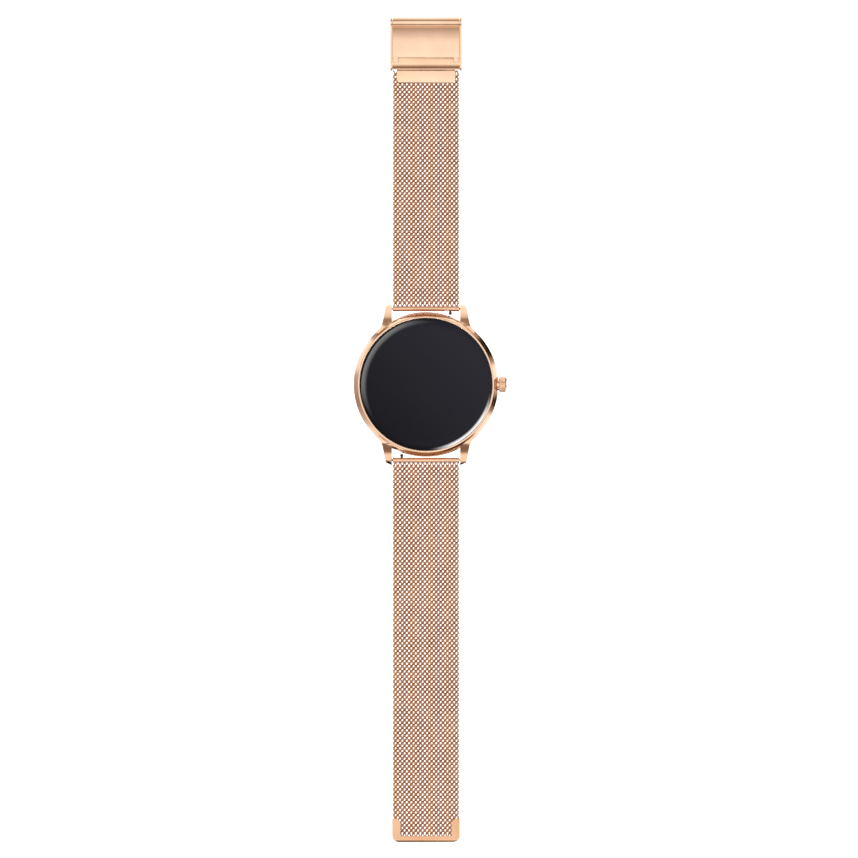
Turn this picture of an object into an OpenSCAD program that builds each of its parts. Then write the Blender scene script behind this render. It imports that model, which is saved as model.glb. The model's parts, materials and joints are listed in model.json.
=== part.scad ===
// Round smartwatch on a woven metal mesh strap, laid flat.
// Origin: middle of the back, on the face the watch rests on. +Y towards 12 o'clock, +X towards the crown.

/* [Case] */
// Diameter of the case at its widest line
case_d = 42.3; // [35:0.1:51]
// Height of the widest line above the rest face
case_wide_z = 4.2; // [3.8:0.1:5]
// How far the side has fallen inwards where the bezel ring starts
side_fall = 0.71; // [0.4:0.01:1.2]
// Width of the sloping side seen from above
side_w = 1.2; // [0.9:0.05:1.6]
// Width of the bezel ring's flat top
bezel_flat_w = 0.47; // [0.3:0.01:1]
// Height of the bezel ring
bezel_h = 1.15; // [0.9:0.05:1.6]
// Wall of the case at its widest line
case_wall = 3.27; // [2.8:0.01:4]
// How far the underside curves in at the foot of the case
belly_in = 1.77; // [1:0.01:2.5]

/* [Lugs] */
// Gap between two lugs, the strap width that fits
lug_gap = 20; // [16:0.1:24.5]
// Width of a lug at the spring bar
lug_w = 1.98; // [1.6:0.01:3]
// Lean of a lug's outer edge towards the strap, in degrees
lug_lean = 10; // [4:1:14]
// Radius where a lug flows into the case
lug_fillet_r = 5.5; // [3:0.1:7]
// Lug beyond the spring bar's axis
lug_past_bar = 1.5; // [1.2:0.05:2.2]
// Slant of a lug's end face, in degrees
lug_end_slant = 25; // [0:1:35]
// Lean of a lug's end face from the upright, in degrees
lug_end_lean = 5; // [3:1:12]
// Radius of the curve along the top of a lug
lug_top_r = 14; // [12:0.1:20]

/* [Back] */
// Height of the sensor window below the back cover
window_proud = 0.5; // [0.3:0.05:0.8]
// Thickness of the back cover
cover_t = 1.1; // [1:0.05:1.6]
// How far the back cover stands out of the case
cover_out = 0.4; // [0.2:0.05:0.5]
// Thickness of the ledge the back cover seats on
ledge_t = 0.8; // [0.6:0.05:1.2]
// Width of that ledge
ledge_w = 1.3; // [1.1:0.05:1.8]
// Ring of the back cover round the window, for screws, pads and magnets
cover_ring_w = 9.7; // [9.3:0.1:11]
// Diameter of a back screw's shank
screw_d = 1.2; // [1:0.05:1.5]
// Diameter of a back screw's head
screw_head_d = 2.1; // [1.8:0.05:2.5]
// Length of a back screw under its head
screw_l = 2.5; // [2:0.1:2.6]
// Diameter of a charging pad
pad_d = 1.8; // [1.2:0.1:2.2]
// Diameter of a charging magnet
magnet_d = 3; // [2:0.1:3.5]

/* [Inside] */
// Thickness of the battery
battery_t = 2.8; // [2.3:0.1:3.6]
// Wall of the inner frame
frame_wall = 1.1; // [0.8:0.05:1.4]
// Thickness of the inner frame's plate
plate_t = 0.5; // [0.4:0.05:0.8]
// Thickness of the main board
board_t = 0.6; // [0.4:0.05:1]
// Height of the shield can
shield_h = 1; // [0.7:0.05:1.4]
// Thickness of the display panel
display_t = 1; // [0.8:0.05:1.3]
// Diameter of the vibration motor
motor_d = 7; // [6:0.1:7]
// Thickness of the vibration motor
motor_t = 2.5; // [1.8:0.1:2.7]

/* [Glass] */
// Thickness of the glass at its middle
glass_t = 1.2; // [1:0.05:1.6]
// Width of the curved border of the glass
glass_curve_w = 3.05; // [2:0.05:4]
// Height of the glass at its rim
glass_rim_h = 0.3; // [0.2:0.05:0.5]
// Width of the black printed border
mask_w = 2.8; // [2:0.1:3.5]
// Thickness of the printed border and of the optical adhesive
mask_t = 0.1; // [0.1:0.05:0.2]
// Thickness of the glass adhesive
adhesive_t = 0.2; // [0.15:0.05:0.3]

/* [Crown] */
// Height of the crown's axis
crown_z = 4.6; // [4.2:0.1:5]
// Diameter of the crown head
crown_d = 4.4; // [4:0.1:5.2]
// Length of the crown head
crown_l = 2.2; // [2:0.1:2.7]
// Flutes round the crown head
crown_flutes = 15; // [12:1:20]
// Travel of the crown when pressed
crown_travel = 0.5; // [0.3:0.05:0.5]
// Diameter of the crown stem
stem_d = 1.8; // [1.5:0.05:2]
// Diameter of the neck the head slides over
neck_d = 3.4; // [3.2:0.05:3.6]

/* [Strap] */
// Length of mesh on the 12 o'clock side
upper_mesh_l = 69.4; // [57:0.1:84]
// Length of mesh on the 6 o'clock side
lower_mesh_l = 109.6; // [91:0.1:132]
// Thickness of the mesh
mesh_t = 1.2; // [1:0.05:1.45]
// Diameter of an end tube
tube_d = 1.5; // [1.4:0.05:1.9]
// Gap between an end tube and the case
tube_case_gap = 0.23; // [0.2:0.01:0.8]
// Height of the spring bars' axis
bar_z = 1.9; // [1.7:0.1:2.3]
// Outer diameter of a bar's barrel
barrel_d = 1; // [0.9:0.02:1.1]
// Diameter of a bar's pins
pin_d = 0.66; // [0.6:0.02:0.7]
// Pin length inside a lug
pin_in_lug = 0.9; // [0.7:0.05:1.1]
// Travel of the release pin
release_travel = 1.2; // [1.1:0.05:1.4]
// Diameter of the release knob
knob_d = 0.7; // [0.6:0.05:0.9]
// Diameter of the ball on the knob's end
knob_ball_d = 0.95; // [0.8:0.05:1.1]
// Knob's distance from the lug
knob_inset = 2.9; // [2.5:0.1:3.5]

/* [Clasp] */
// Length of the clasp frame
clasp_l = 15.6; // [13:0.1:18.8]
// Wall of a clasp rail
rail_t = 0.6; // [0.5:0.05:0.8]
// Thickness of the clasp floor
floor_t = 0.6; // [0.5:0.05:0.8]
// Spare height over the other strap in the clasp
pass_gap = 0.15; // [0.1:0.05:0.4]
// Thickness of the tongue plate
tongue_t = 0.5; // [0.4:0.05:0.7]
// Thickness of the crossbar
crossbar_t = 1; // [0.8:0.05:1.3]
// Diameter of the cover's hinge roll
roll_d = 2.9; // [2.5:0.05:3.3]
// Diameter of the cover pin
cover_pin_d = 1; // [0.8:0.05:1.2]
// Diameter of the tongue pin
tongue_pin_d = 0.6; // [0.5:0.02:0.7]
// Length of the tongue plate over the mesh
tongue_l = 4.2; // [3.5:0.1:5.2]

/* [End cap] */
// Sheet thickness of the end cap
cap_t = 0.3; // [0.25:0.01:0.4]
// Height of the band across the strap
cap_band_l = 1.85; // [1.5:0.05:2.3]
// Height of the cap at its ears
cap_ear_l = 6.95; // [6:0.05:8.4]
// Width of an ear
cap_ear_w = 2.39; // [2:0.05:2.9]
// Radius of the cap's outer corners
cap_corner_r = 2; // [1:0.1:2.2]

/* [Fits] */
// Radial clearance of a pin or stem that turns or slides
run_gap = 0.03; // [0.02:0.01:0.05]
// Clearance between glass, frames and what holds them
seat_gap = 0.05; // [0.03:0.01:0.08]
// Side clearance between moving clasp parts
side_gap = 0.1; // [0.08:0.01:0.15]

/* [Hidden] */
$fn = 96;
UPPER_LINKS = 6;
LOWER_LINKS = 9;
BAR_PARTS = ["end_tube", "bar_barrel", "bar_fixed_pin", "bar_spring", "release_pin"];

ROSE = "#D9A583";
ROSE_LIGHT = "#F0C9A8";
STEEL = "silver";
BLACK = "#1B1A1D";
over = 1;  // how far a cutting solid runs past what it cuts

// Case radii
case_r = case_d / 2;
cavity_r = case_r - case_wall;
recess_r = cavity_r - 0.4;
opening_r = recess_r - ledge_w;
glass_bore_r = case_r - side_w - bezel_flat_w;
glass_r = glass_bore_r - seat_gap;

// Heights, from the rest face upwards
cover_z = window_proud;
case_z = cover_z + cover_out;
cover_top_z = cover_z + cover_t;
frame_z = cover_top_z + ledge_t;
battery_z = frame_z + 0.1;
plate_z = battery_z + battery_t;
board_z = plate_z + plate_t;
board_top_z = board_z + board_t;
display_z = board_top_z + shield_h + 0.3;
display_top_z = display_z + display_t;
glass_z = display_top_z + mask_t;
lip_z = display_top_z - adhesive_t;
bezel_z = lip_z - 0.5;

// Side of the case: one arc from the widest line to the bezel, one round the belly
side_rise = bezel_z - case_wide_z;
side_arc_r = (side_rise * side_rise + side_fall * side_fall) / (2 * side_fall);
belly_arc_r = 7.6;
belly_arc_z = case_z + 6.1;
belly_c_r = case_r - belly_in - sqrt(pow(belly_arc_r, 2) - pow(belly_arc_z - case_z, 2));

// Spring bars
bar_y = case_r + tube_case_gap + tube_d / 2;
pin_r = pin_d / 2;
barrel_bore_d = pin_d + 2 * run_gap;
tube_bore_d = barrel_d + 2 * run_gap;
strap_w = lug_gap - 0.5;
tube_half = lug_gap / 2 - 0.3;
pin_end_x = lug_gap / 2 + pin_in_lug;
knob_x = lug_gap / 2 - knob_inset;
spring_x0 = knob_x - 6.1;
spring_x1 = knob_x - 1.9;
spring_wire_d = 0.12;

// Mesh runs
mesh_y0 = bar_y + tube_d / 2;
mesh_z = cap_t;
mesh_mid_z = mesh_z + mesh_t / 2;
mesh_top_z = mesh_z + mesh_t;
bend_gap = 0.05;
horn_cut = 0.45;

// Lug outline
lug_tip_y = bar_y + lug_past_bar;
lug_x0 = lug_gap / 2;
lug_sink = 0.12;  // how far the fillet runs into the case
lug_edge = [lug_x0 + lug_w, bar_y];
lug_dir = [-sin(lug_lean), cos(lug_lean)];
lug_out = [cos(lug_lean), sin(lug_lean)];
fillet_q = lug_edge + lug_fillet_r * lug_out;
fillet_qd = fillet_q * lug_dir;
fillet_reach = case_r - lug_sink + lug_fillet_r;
fillet_t = -fillet_qd + sqrt(pow(fillet_qd, 2) - fillet_q * fillet_q + pow(fillet_reach, 2));
fillet_c = fillet_q + fillet_t * lug_dir;
lug_corner_dx = lug_w - 0.2;
lug_corner = [lug_x0 + lug_corner_dx, lug_tip_y - lug_corner_dx * tan(lug_end_slant)];
lug_hole_r = pin_r + 0.01 + run_gap;
lug_tip_z = 2.9;
lug_foot_z = 0.4;
lug_arc_c = [lug_tip_y - 11.49, lug_tip_z - 8];

// Inside the case
frame_r = cavity_r - 0.1;
frame_in_r = frame_r - frame_wall;
boss_d = screw_d + 1.6;
boss_at_r = opening_r - 1;
board_r = frame_in_r - 0.1;
display_r = cavity_r - 0.6;
mask_in_r = glass_r - mask_w - 0.25;
stem_in_x = case_r - 4.97;
switch_x1 = stem_in_x - crown_travel - 0.3;
switch_x0 = switch_x1 - 2;
battery_half_l = boss_at_r * cos(45) - boss_d / 2 - 1.1;
battery_half_w = switch_x0 - 0.9;
window_r = opening_r - cover_ring_w;
sensor_board_r = window_r + 2;
pad_y = -(sensor_board_r + 3.1);

// Crown, along +X
head_x0 = case_r + 0.23;
head_x1 = head_x0 + crown_l;
spot_x = head_x0 - crown_travel - seat_gap;
neck_x1 = head_x0 + 0.5;
skirt_x = neck_x1 + crown_travel + 0.15;
spring_seat_x = neck_x1 - 1.5;
neck_x0 = spring_seat_x - 0.5;
tube_out_d = stem_d + 2 * run_gap + 1;
tube_x0 = cavity_r + 0.05;
clip_x0 = tube_x0 - 0.45;
clip_t = 0.3;
groove_r = stem_d / 2 - 0.3;

// Clasp and end cap
clasp_y0 = mesh_y0 + upper_mesh_l;
rail_y0 = clasp_y0 - 0.5;
rail_x0 = strap_w / 2 + side_gap;
rail_x1 = rail_x0 + rail_t;
roll_r = roll_d / 2;
roll_y = rail_y0 + clasp_l - roll_r;
roll_z = floor_t + mesh_t + pass_gap + roll_r;
roll_half = rail_x0 - side_gap;
knuckle_r = tongue_pin_d / 2 + 0.32;
knuckle_y = clasp_y0 + 1.1;
knuckle_x = 6.2;
tongue_w = strap_w - 2.4;
crossbar_y = clasp_y0 + 1.4;
crossbar_l = 3.3;
crossbar_z = mesh_top_z + tongue_t + mesh_t + pass_gap + 0.05;
crossbar_top_z = crossbar_z + crossbar_t;
rail_h = crossbar_top_z - 0.1;
crossbar_arc_r = 4.2;
crossbar_arc_y = crossbar_y + 1.07;
cover_y0 = crossbar_y + crossbar_l / 2 + 0.35;
cover_under_z = crossbar_z + 0.1;
cover_top_arc_r = 20;
cover_top_y = cover_y0 + 2.6;
tongue_arc_r = 10;
tongue_top_y = clasp_y0 - 1.6;
latch_x = [8, 9.7];
latch_y = crossbar_y + 0.6;
latch_z = crossbar_z + 0.45;
cap_half_w = strap_w / 2 + 0.1;
cap_y1 = mesh_y0 + lower_mesh_l + 1.4;
cap_fold_r = mesh_t / 2 + cap_t;

// ---------- Shape helpers ----------

// A section drawn as (Y, Z), run along X
module along_x(len) {
    rotate([90, 0, 90]) linear_extrude(len, center = true) children();
}

// A round bar along X from x0 to x1
module x_bar(x0, x1, d) {
    translate([x0, 0, 0]) rotate([0, 90, 0]) cylinder(d = d, h = x1 - x0);
}

module ring(r_out, r_in, h) {
    difference() {
        cylinder(r = r_out, h = h);
        translate([0, 0, -over]) cylinder(r = r_in, h = h + 2 * over);
    }
}

// A rectangle with round corners, made of squares and circles
module round_rect(x0, y0, x1, y1, r) {
    translate([x0 + r, y0]) square([x1 - x0 - 2 * r, y1 - y0]);
    translate([x0, y0 + r]) square([x1 - x0, y1 - y0 - 2 * r]);
    for (x = [x0 + r, x1 - r], y = [y0 + r, y1 - r]) translate([x, y]) circle(r);
}

module four_ways() {
    for (a = [45:90:315]) rotate([0, 0, a]) children();
}

module both_x() {
    children();
    mirror([1, 0, 0]) children();
}

// The 6 o'clock side is the 12 o'clock side turned half round
module on_side(side) {
    rotate([0, 0, side == "upper" ? 0 : 180]) children();
}

// A wire coil along +X: turns of round wire swept round radius r
module coil(x0, x1, r, wire_d, turns, steps, sides) {
    n = turns * steps;
    pitch = (x1 - x0 - wire_d) / n;
    ring_at = function(i) [for (j = [0:sides - 1])
        let (a = 360 * i / steps, b = 360 * j / sides, q = r + wire_d / 2 * cos(b))
        [x0 + wire_d / 2 + i * pitch + wire_d / 2 * sin(b), q * cos(a), q * sin(a)]];
    points = [for (i = [0:n]) each ring_at(i)];
    sides_of = [for (i = [0:n - 1], j = [0:sides - 1])
        [i * sides + j, i * sides + (j + 1) % sides, (i + 1) * sides + (j + 1) % sides, (i + 1) * sides + j]];
    polyhedron(points, concat([[for (j = [sides - 1:-1:0]) j]],
                              sides_of,
                              [[for (j = [0:sides - 1]) n * sides + j]]));
}

// ---------- Case ----------

module case_section() {
    intersection() {
        translate([0, case_z]) square([case_r + over, bezel_z - case_z]);
        translate([case_r - side_arc_r, case_wide_z]) circle(side_arc_r);
        translate([belly_c_r, belly_arc_z]) circle(belly_arc_r);
    }
}

module lug_plan() {
    foot = case_r * 0.45;
    difference() {
        polygon([[lug_x0, foot], [lug_x0, lug_tip_y], lug_corner, fillet_c - lug_fillet_r * lug_out,
                 fillet_c, fillet_c * ((case_r - 2 * lug_sink) / norm(fillet_c)), [lug_x0 + 1, foot]]);
        translate(fillet_c) circle(lug_fillet_r);
    }
}

module lug_side() {
    intersection() {
        polygon([[0, case_z], [case_r - 4, case_z], [lug_tip_y - 1.2, lug_foot_z],
                 [lug_tip_y - 0.5, lug_foot_z + 0.15], [lug_tip_y, lug_foot_z + 0.7],
                 [lug_tip_y - (bezel_z - lug_foot_z - 0.7) * tan(lug_end_lean), bezel_z], [0, bezel_z]]);
        translate(lug_arc_c) circle(lug_top_r);
    }
}

module lug() {
    intersection() {
        linear_extrude(bezel_z) lug_plan();
        along_x(4 * lug_gap) lug_side();
    }
}

module lug_hole() {
    translate([0, bar_y, bar_z]) x_bar(lug_x0 - over, pin_end_x + 0.1, 2 * lug_hole_r);
}

module case_shell() {
    color(ROSE) difference() {
        union() {
            rotate_extrude() case_section();
            translate([0, 0, bezel_z - 1]) cylinder(r = glass_bore_r - 0.02, h = lip_z - bezel_z + 1);
            for (side = ["upper", "lower"]) on_side(side) both_x() lug();
        }
        translate([0, 0, -over]) cylinder(r = recess_r, h = cover_top_z + over);
        cylinder(r = opening_r, h = frame_z + over);
        translate([0, 0, frame_z]) cylinder(r = cavity_r, h = lip_z);
        translate([0, 0, crown_z]) {
            x_bar(cavity_r - over, spot_x, tube_out_d);
            x_bar(neck_x0, case_r, neck_d);
            x_bar(spot_x, case_r + over, crown_d + 0.4);
        }
        for (side = ["upper", "lower"]) on_side(side) both_x() lug_hole();
    }
    color(ROSE) four_ways() translate([boss_at_r, 0, cover_top_z]) difference() {
        cylinder(d = boss_d, h = screw_l + 0.1);
        translate([0, 0, -over]) cylinder(d = screw_d, h = screw_l + over);
    }
}

module bezel_ring() {
    color(ROSE_LIGHT) translate([0, 0, bezel_z]) rotate_extrude() polygon([
        [glass_bore_r, 0], [case_r - side_fall, 0], [glass_bore_r + bezel_flat_w, bezel_h - 0.05],
        [glass_bore_r + bezel_flat_w - 0.08, bezel_h], [glass_bore_r + 0.05, bezel_h],
        [glass_bore_r, bezel_h - 0.05]]);
}

module glass() {
    drop = glass_t - glass_rim_h;
    arc_r = (glass_curve_w * glass_curve_w + drop * drop) / (2 * drop);
    flat_r = glass_r - glass_curve_w;
    color(BLACK) translate([0, 0, glass_z]) rotate_extrude() {
        square([flat_r, glass_t]);
        intersection() {
            translate([flat_r - 0.01, 0]) square([glass_curve_w + 0.01, glass_t]);
            translate([flat_r, glass_t - arc_r]) circle(arc_r);
        }
    }
}

module mask_ring() {
    color("black") translate([0, 0, display_top_z]) ring(glass_r - 0.25, mask_in_r, mask_t);
}

module optical_adhesive() {
    color("white") translate([0, 0, display_top_z]) cylinder(r = mask_in_r, h = mask_t);
}

module glass_adhesive() {
    color("dimgray") translate([0, 0, lip_z]) ring(glass_r - 0.4, cavity_r + 0.1, adhesive_t);
}

module display_panel() {
    color("#26262B") translate([0, 0, display_z]) cylinder(r = display_r, h = display_t);
}

// A flat tape folded back under the display
module display_flex() {
    tape_t = 0.15;
    tape_w = 6;
    fold_y = -(board_r - 1.1);
    fold_r = (display_z - board_top_z) / 2;
    color("#C07A2A") along_x(tape_w) translate([fold_y, board_top_z + fold_r]) {
        difference() {
            circle(fold_r);
            circle(fold_r - tape_t);
            translate([0, -2 * fold_r]) square(4 * fold_r);
        }
        translate([0, fold_r - tape_t]) square([2.6, tape_t]);
        translate([0, -fold_r]) square([2.6, tape_t]);
    }
}

module inner_frame() {
    color("#3A3A3E") difference() {
        union() {
            translate([0, 0, frame_z]) ring(frame_r, frame_in_r, display_z - frame_z);
            translate([0, 0, plate_z]) cylinder(r = frame_in_r + 0.1, h = plate_t);
        }
        translate([switch_x0 - 0.3, -2.4, crown_z - 1.8]) cube([case_r, 4.8, 3.6]);
        translate([-3.5, -board_r - 0.4, plate_z - over]) cube([7, 1.6, plate_t + 2 * over]);
    }
}

module main_board() {
    color("#1F5A38") translate([0, 0, board_z]) difference() {
        cylinder(r = board_r, h = board_t);
        for (a = [30, 150, 210, 330]) rotate([0, 0, a]) translate([board_r - 1.2, 0, -over])
            cylinder(d = 1.2, h = board_t + 2 * over);
    }
}

module board_shield() {
    wall = 0.2;
    size = [13, 11];
    color(STEEL) translate([-size.x / 2 - 1, -size.y / 2, board_top_z]) difference() {
        cube([size.x, size.y, shield_h]);
        translate([wall, wall, -over]) cube([size.x - 2 * wall, size.y - 2 * wall, shield_h - wall + over]);
    }
}

module antenna() {
    color("goldenrod") translate([0, 0, board_top_z]) rotate([0, 0, 45])
        rotate_extrude(angle = 90) translate([board_r - 1.8, 0]) square([1.1, 0.2]);
}

module battery() {
    color("#8E9299") translate([0, 0, battery_z]) linear_extrude(battery_t)
        round_rect(-battery_half_w, -battery_half_l, battery_half_w, battery_half_l, 1.2);
}

module vibration_motor() {
    color(STEEL) translate([0, frame_in_r - motor_d / 2 - 0.4, plate_z - motor_t])
        cylinder(d = motor_d, h = motor_t);
}

// Tact switch hanging under the board, with the plunger that the stem presses
module side_switch() {
    color(BLACK) {
        translate([switch_x0, -2, crown_z - 1]) cube([2, 4, board_z - crown_z + 1]);
        translate([0, 0, crown_z]) x_bar(switch_x1, switch_x1 + 0.25, 1);
    }
}

module crown_tube() {
    color(ROSE) translate([0, 0, crown_z]) difference() {
        union() {
            x_bar(tube_x0, spot_x, tube_out_d);
            x_bar(neck_x0, neck_x1, neck_d);
        }
        x_bar(tube_x0 - over, neck_x1 + over, stem_d + 2 * run_gap);
        x_bar(spring_seat_x, neck_x1 + over, neck_d - 0.5);
    }
}

// ---------- Back ----------

module back_cover() {
    color(ROSE_LIGHT) difference() {
        translate([0, 0, cover_z]) cylinder(r = recess_r - seat_gap, h = cover_t);
        translate([0, 0, cover_z - over]) cylinder(r = window_r, h = over + 0.6);
        cylinder(r = window_r - 1, h = cover_top_z + over);
        translate([0, 0, case_z + 0.05]) ring(recess_r + over, recess_r - 0.55, 0.4);
        four_ways() translate([boss_at_r, 0, cover_z - over]) {
            cylinder(d = screw_d + 0.1, h = cover_t + 2 * over);
            cylinder(d = screw_head_d + 0.1, h = over + 0.55);
        }
        for (x = [-1.9, 1.9]) translate([x, pad_y, 0]) cylinder(d = pad_d, h = cover_top_z + over);
    }
}

module back_gasket() {
    color("black") translate([0, 0, case_z + 0.05]) ring(recess_r, recess_r - 0.55, 0.4);
}

module back_screws() {
    color(STEEL) four_ways() translate([boss_at_r, 0, cover_z + 0.05]) difference() {
        union() {
            cylinder(d = screw_head_d, h = 0.5);
            translate([0, 0, 0.5]) cylinder(d = screw_d, h = screw_l);
        }
        for (a = [0, 90]) rotate([0, 0, a]) translate([-0.6, -0.14, -over]) cube([1.2, 0.28, over + 0.25]);
    }
}

module sensor_window() {
    color("#15151A") {
        cylinder(r1 = window_r - 0.5, r2 = window_r, h = window_proud);
        translate([0, 0, window_proud]) cylinder(r = window_r, h = 0.6);
    }
}

module sensor_board() {
    color("#1F5A38") {
        translate([0, 0, cover_top_z]) cylinder(r = sensor_board_r, h = 0.6);
        translate([0, 0, cover_z + 0.6]) cylinder(r = window_r - 1.2, h = cover_t);
    }
}

module charge_contacts() {
    color("gold") for (x = [-1.9, 1.9])
        translate([x, pad_y, cover_z - 0.05]) cylinder(d = pad_d, h = cover_t + 0.3);
}

module charge_magnets() {
    color(STEEL) for (x = [-5, 5]) translate([x, pad_y, cover_top_z]) cylinder(d = magnet_d, h = 0.75);
}

// ---------- Crown ----------

module crown_clip() {
    color(STEEL) translate([0, 0, crown_z]) difference() {
        x_bar(clip_x0, clip_x0 + clip_t, stem_d + 1);
        x_bar(clip_x0 - over, clip_x0 + over, 2 * (groove_r + run_gap));
    }
}

module crown_spring() {
    color(STEEL) translate([0, 0, crown_z])
        coil(spring_seat_x, skirt_x, stem_d / 2 + 0.32, 0.26, 4, 16, 6);
}

module crown_stem() {
    color(STEEL) translate([0, 0, crown_z]) difference() {
        x_bar(stem_in_x, head_x1 - 0.5, stem_d);
        difference() {
            union() {
                x_bar(clip_x0 - 0.05, clip_x0 + clip_t + 0.05, stem_d + over);
                x_bar(tube_x0 + 0.6, tube_x0 + 1.1, stem_d + over);
            }
            x_bar(stem_in_x, head_x1, 2 * groove_r);
        }
    }
}

module crown_o_ring() {
    section_r = (stem_d / 2 - groove_r) / 2;
    color("black") translate([tube_x0 + 0.85, 0, crown_z]) rotate([0, 90, 0])
        rotate_extrude() translate([groove_r + section_r, 0]) circle(section_r);
}

module crown_head() {
    edge = 0.12;
    nose = 0.45;
    color(ROSE_LIGHT) translate([0, 0, crown_z]) difference() {
        rotate([0, 90, 0]) rotate_extrude() polygon([
            [0, head_x0], [crown_d / 2 - edge, head_x0], [crown_d / 2, head_x0 + edge],
            [crown_d / 2, head_x1 - nose], [crown_d / 2 - nose, head_x1], [0, head_x1]]);
        x_bar(head_x0 - over, skirt_x, neck_d + 0.2);
        x_bar(head_x0, head_x1 - 0.5, stem_d);
        for (i = [0:crown_flutes - 1]) rotate([360 * i / crown_flutes, 0, 0])
            translate([0, 0, crown_d / 2 + 0.12]) x_bar(head_x0 - over, head_x1 + over, 0.56);
    }
}

// ---------- Spring bars and end tubes, drawn for the 12 o'clock side ----------

module at_bar() {
    translate([0, bar_y, bar_z]) children();
}

// The slot that lets the knob slide inwards
module knob_slot() {
    translate([knob_x - release_travel - knob_d / 2 - 0.1, -tube_d, -knob_d / 2 - 0.1])
        cube([release_travel + knob_d + 0.2, tube_d, knob_d + 0.2]);
}

module end_tube() {
    color(ROSE) at_bar() difference() {
        x_bar(-tube_half, tube_half, tube_d);
        x_bar(-tube_half - over, tube_half + over, tube_bore_d);
        knob_slot();
    }
}

module bar_barrel() {
    color(STEEL) at_bar() difference() {
        x_bar(-tube_half, tube_half, barrel_d);
        x_bar(spring_x0, tube_half + over, barrel_bore_d);
        x_bar(-tube_half - over, spring_x0 + over, pin_d);
        knob_slot();
    }
}

module bar_fixed_pin() {
    color(STEEL) at_bar() x_bar(-pin_end_x, spring_x0, pin_d);
}

module bar_spring() {
    color(STEEL) at_bar() coil(spring_x0, spring_x1, pin_r - spring_wire_d / 2, spring_wire_d, 8, 12, 5);
}

module release_pin() {
    color(STEEL) at_bar() {
        x_bar(spring_x1, pin_end_x, pin_d);
        translate([knob_x, 0, 0]) rotate([90, 0, 0]) cylinder(d = knob_d, h = tube_d / 2 + 0.6);
        translate([knob_x, -tube_d / 2 - 0.6, 0]) sphere(d = knob_ball_d);
    }
}

// ---------- Mesh ----------

// A stretch of mesh between two bends. It starts round on the bend before and ends in a seat for the next.
module mesh_link(length, links, k) {
    step = length / links;
    half = mesh_t / 2;
    first = k == 1;
    last = k == links;
    y_a = mesh_y0 + (k - 1) * step;
    y_b = mesh_y0 + k * step;
    color(ROSE) along_x(strap_w) difference() {
        union() {
            if (first)
                polygon([[bar_y, bar_z - half], [y_b, mesh_z], [y_b, mesh_top_z], [bar_y, bar_z + half]]);
            else {
                translate([y_a, mesh_z]) square([step, mesh_t]);
                translate([y_a, mesh_mid_z]) circle(half);
            }
        }
        if (first) translate([bar_y, bar_z]) circle(d = tube_d);
        if (first) translate([bar_y - tube_d, 0]) square([tube_d * 1.3, bezel_z]);
        if (!last) {
            translate([y_b, mesh_mid_z]) circle(half + bend_gap);
            translate([y_b - horn_cut, 0]) square([horn_cut + over, bezel_z]);
        }
    }
}

module upper_mesh(k) mesh_link(upper_mesh_l, UPPER_LINKS, k);

module lower_mesh(k) on_side("lower") mesh_link(lower_mesh_l, LOWER_LINKS, k);

// ---------- End cap on the 6 o'clock side ----------

module end_cap() {
    ear_x0 = cap_half_w - cap_ear_w;
    ear_r = 1.5;
    color(ROSE_LIGHT) on_side("lower") intersection() {
        translate([0, 0, -over]) linear_extrude(10) difference() {
            round_rect(-cap_half_w, cap_y1 - 2 * cap_ear_l, cap_half_w, cap_y1, cap_corner_r);
            translate([-lug_gap, cap_y1 - 3 * cap_ear_l]) square([2 * lug_gap, 2 * cap_ear_l]);
            translate([-ear_x0, cap_y1 - 2 * cap_ear_l]) square([2 * ear_x0, 2 * cap_ear_l - cap_band_l]);
            both_x() difference() {
                translate([ear_x0 - over, cap_y1 - cap_ear_l - over]) square(over + ear_r);
                translate([ear_x0 + ear_r, cap_y1 - cap_ear_l + ear_r]) circle(ear_r);
            }
        }
        along_x(2 * lug_gap) translate([cap_y1 - cap_fold_r, mesh_mid_z]) difference() {
            union() {
                circle(cap_fold_r);
                translate([-2 * cap_ear_l, -cap_fold_r]) square([2 * cap_ear_l, 2 * cap_fold_r]);
            }
            circle(mesh_t / 2);
            translate([-3 * cap_ear_l, -mesh_t / 2]) square([3 * cap_ear_l, mesh_t]);
        }
    }
}

// ---------- Clasp on the 12 o'clock side ----------

module clasp_tongue() {
    plate_y0 = clasp_y0 - tongue_l - 0.1;
    web_y = clasp_y0 + 0.02;
    color(ROSE_LIGHT) {
        intersection() {
            translate([0, 0, mesh_top_z]) linear_extrude(tongue_t) difference() {
                round_rect(-tongue_w / 2, plate_y0, tongue_w / 2, plate_y0 + 2 * tongue_l, 1.5);
                translate([-lug_gap, web_y]) square([2 * lug_gap, 2 * tongue_l]);
            }
            along_x(2 * lug_gap) translate([tongue_top_y, mesh_top_z + tongue_t - tongue_arc_r])
                circle(tongue_arc_r, $fn = 360);
        }
        difference() {
            union() {
                along_x(2 * knuckle_x - 2 * side_gap) {
                    translate([web_y, mesh_z]) square([0.45, mesh_top_z + tongue_t - mesh_z]);
                    translate([knuckle_y, knuckle_r]) circle(knuckle_r);
                    translate([web_y, mesh_z]) square([knuckle_y - web_y, knuckle_r - mesh_z]);
                }
            }
            translate([0, knuckle_y, knuckle_r]) x_bar(-rail_x1, rail_x1, tongue_pin_d + 2 * run_gap);
        }
    }
}

module tongue_pin() {
    color(STEEL) translate([0, knuckle_y, knuckle_r]) x_bar(-rail_x1, rail_x1, tongue_pin_d);
}

module rail_side() {
    round_rect(rail_y0, 0, roll_y + 0.65, rail_h, 1.1);
    translate([roll_y, roll_z]) circle(roll_r);
}

module crossbar_side() {
    intersection() {
        translate([crossbar_y - crossbar_l / 2, crossbar_z]) square([crossbar_l, 2]);
        translate([crossbar_arc_y, crossbar_top_z - crossbar_arc_r]) circle(crossbar_arc_r);
    }
}

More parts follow.
